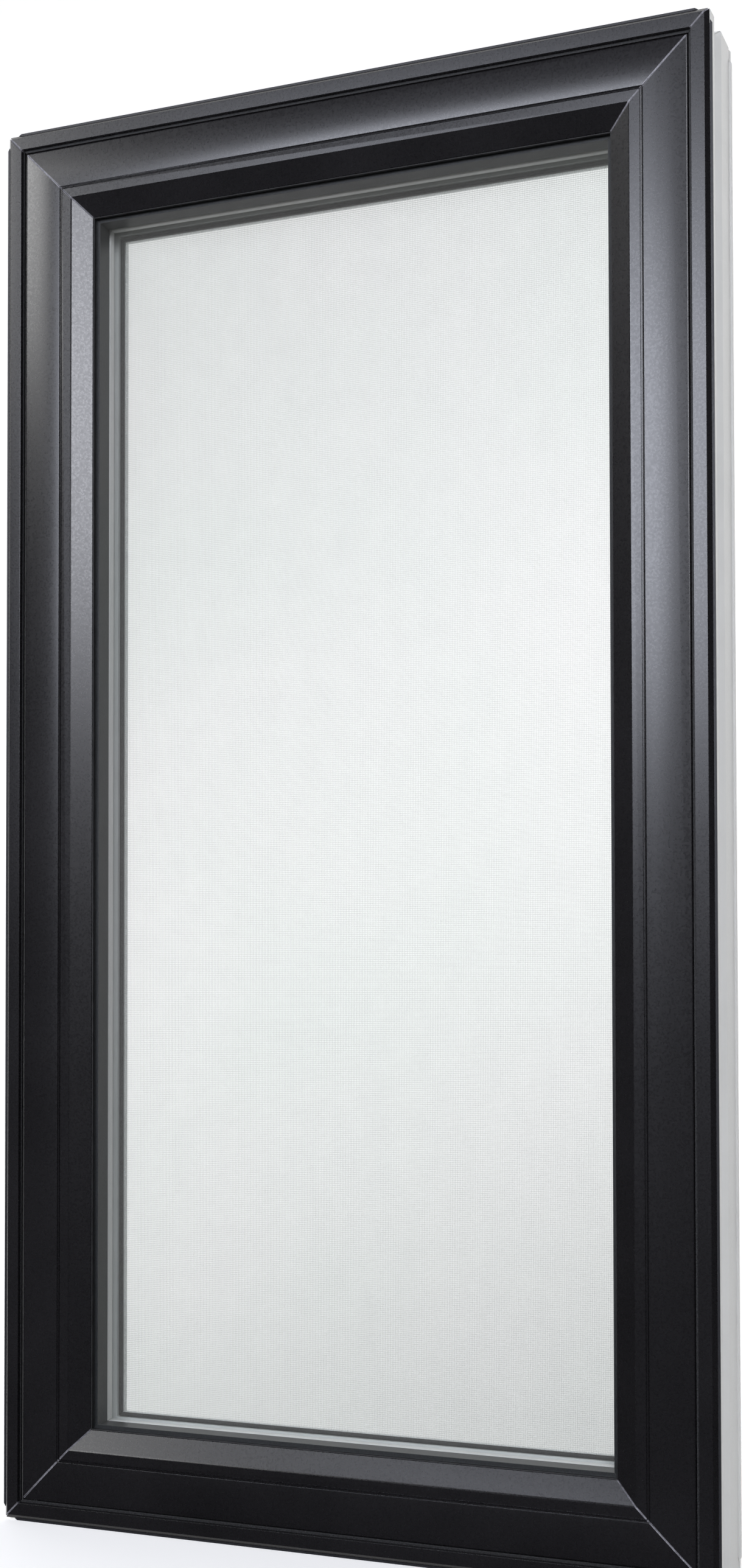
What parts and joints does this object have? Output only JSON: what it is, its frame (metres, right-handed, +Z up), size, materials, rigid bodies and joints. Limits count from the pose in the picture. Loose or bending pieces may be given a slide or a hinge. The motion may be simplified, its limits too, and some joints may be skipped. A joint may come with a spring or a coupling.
{
  "type": "casement window",
  "caption": "Tall crank-out casement window: white vinyl frame, dark outward-swinging double-glazed sash, crank operator, tie-bar lock and inside insect screen.",
  "frame": {"origin": "underside of the sill, centre of its flat foot", "axes": "+X to the right seen from outside (lock side), +Y into the room, +Z up"},
  "size_m": [0.6132, 0.1469, 1.1862],
  "materials": {
    "white_vinyl": "satin extruded vinyl",
    "black_vinyl": "satin extruded vinyl, dark exterior finish",
    "black_strip": "matt vinyl",
    "seal_rubber": "matt",
    "clear_glass": "polished float glass",
    "spacer": "matt warm-edge spacer",
    "steel": "satin stainless steel",
    "bushing_nylon": "natural nylon",
    "zinc_casting": "coated die-cast zinc",
    "cover_plastic": "semi-gloss moulded plastic",
    "handle_enamel": "white enamelled die-cast zinc",
    "screen_frame": "painted roll-formed aluminium",
    "screen_cloth": "vinyl-coated glass-fibre insect mesh"
  },
  "bodies": {
    "window_frame": {"frame_sill": "white_vinyl", "frame_head": "white_vinyl", "frame_left_jamb": "white_vinyl", "frame_right_jamb": "white_vinyl", "front_groove_strips": "black_strip", "rear_groove_strips": "white_vinyl", "frame_weatherstrip": "seal_rubber", "stop_seal": "seal_rubber", "lower_hinge_frame_leaf": "steel", "upper_hinge_frame_leaf": "steel", "hinge_pins": "steel", "hinge_bushings": "bushing_nylon", "frame_screws": "steel", "operator_base": "zinc_casting", "arm_pivot_pin": "steel", "operator_cover": "cover_plastic", "lock_escutcheon": "cover_plastic", "tie_bar_guides": "bushing_nylon", "screen_bottom_rail": "screen_frame", "screen_top_rail": "screen_frame", "screen_left_rail": "screen_frame", "screen_right_rail": "screen_frame", "screen_corner_keys": "screen_frame", "screen_spline": "seal_rubber", "screen_mesh": "screen_cloth"},
    "sash": {"sash_bottom_rail": "black_vinyl", "sash_top_rail": "black_vinyl", "sash_hinge_stile": "black_vinyl", "sash_lock_stile": "black_vinyl", "stile_reinforcements": "steel", "outer_pane": "clear_glass", "inner_pane": "clear_glass", "pane_spacer": "spacer", "edge_sealant": "seal_rubber", "outer_glazing_gasket": "seal_rubber", "inner_glazing_tape": "seal_rubber", "setting_blocks": "seal_rubber", "bottom_glazing_bead": "white_vinyl", "top_glazing_bead": "white_vinyl", "left_glazing_bead": "white_vinyl", "right_glazing_bead": "white_vinyl", "lower_hinge_sash_leaf": "steel", "upper_hinge_sash_leaf": "steel", "sash_screws": "steel", "sash_track": "steel", "sash_keepers": "steel"},
    "swing_arm": {"operator_arm": "steel", "arm_gear": "steel"},
    "roller": {"arm_roller": "bushing_nylon"},
    "crank": {"crank_shaft": "steel", "crank_hub": "handle_enamel", "fold_pin": "steel"},
    "handle": {"crank_lever": "handle_enamel"},
    "knob": {"crank_knob": "handle_enamel"},
    "lock_handle": {"lock_lever": "handle_enamel", "lock_pinion": "steel"},
    "lock_bar": {"tie_bar": "steel", "tie_bar_studs": "steel"},
    "left_plunger": {"screen_plunger_left": "steel"},
    "right_plunger": {"screen_plunger_right": "steel"}
  },
  "joints": [
    {"name": "sash_swing", "type": "hinge", "parent": "window_frame", "child": "sash", "pos_m": [-0.2662, -0.0395, 0], "axis": [0, 0, -1], "range_deg": [0, 70]},
    {"name": "arm_swing", "type": "hinge", "parent": "window_frame", "child": "swing_arm", "pos_m": [-0.0622, 0.0025, 0.018], "axis": [0, 0, -1], "range_deg": [0, 145.55]},
    {"name": "roller_turn", "type": "hinge", "parent": "swing_arm", "child": "roller", "pos_m": [0.12634, -0.021, 0.0227], "axis": [0, 0, -1], "range_deg": [-75.55, 0]},
    {"name": "crank_turn", "type": "hinge", "parent": "window_frame", "child": "crank", "pos_m": [-0.0426, 0.0025, 0.0254], "axis": [0, 0.9397, 0.342], "range_deg": [0, 3610]},
    {"name": "handle_fold", "type": "hinge", "parent": "crank", "child": "handle", "pos_m": [-0.0426, 0.06076, 0.04661], "axis": [0, -0.342, 0.9397], "range_deg": [0, 165]},
    {"name": "knob_spin", "type": "hinge", "parent": "handle", "child": "knob", "pos_m": [0.0374, 0.0648, 0.04808], "axis": [0, 0.9397, 0.342], "continuous": true},
    {"name": "lock_turn", "type": "hinge", "parent": "window_frame", "child": "lock_handle", "pos_m": [0.275, 0.0225, 0.38], "axis": [0, -1, 0], "range_deg": [0, 140.04]},
    {"name": "lock_slide", "type": "slide", "parent": "window_frame", "child": "lock_bar", "axis": [0, 0, 1], "range_m": [0, 0.0352]},
    {"name": "left_plunger_slide", "type": "slide", "parent": "window_frame", "child": "left_plunger", "axis": [1, 0, 0], "range_m": [0, 0.006], "stiffness_N_per_m": 150, "springref_m": -0.002},
    {"name": "right_plunger_slide", "type": "slide", "parent": "window_frame", "child": "right_plunger", "axis": [-1, 0, 0], "range_m": [0, 0.006], "stiffness_N_per_m": 150, "springref_m": -0.002}
  ],
  "couplings": [
    {"joint": "arm_swing", "follows": "sash_swing", "ratio": 2.065},
    {"joint": "roller_turn", "follows": "sash_swing", "ratio": -1.065},
    {"joint": "crank_turn", "follows": "sash_swing", "ratio": 51.429},
    {"joint": "lock_slide", "follows": "lock_turn", "m_per_rad": 0.01432}
  ]
}
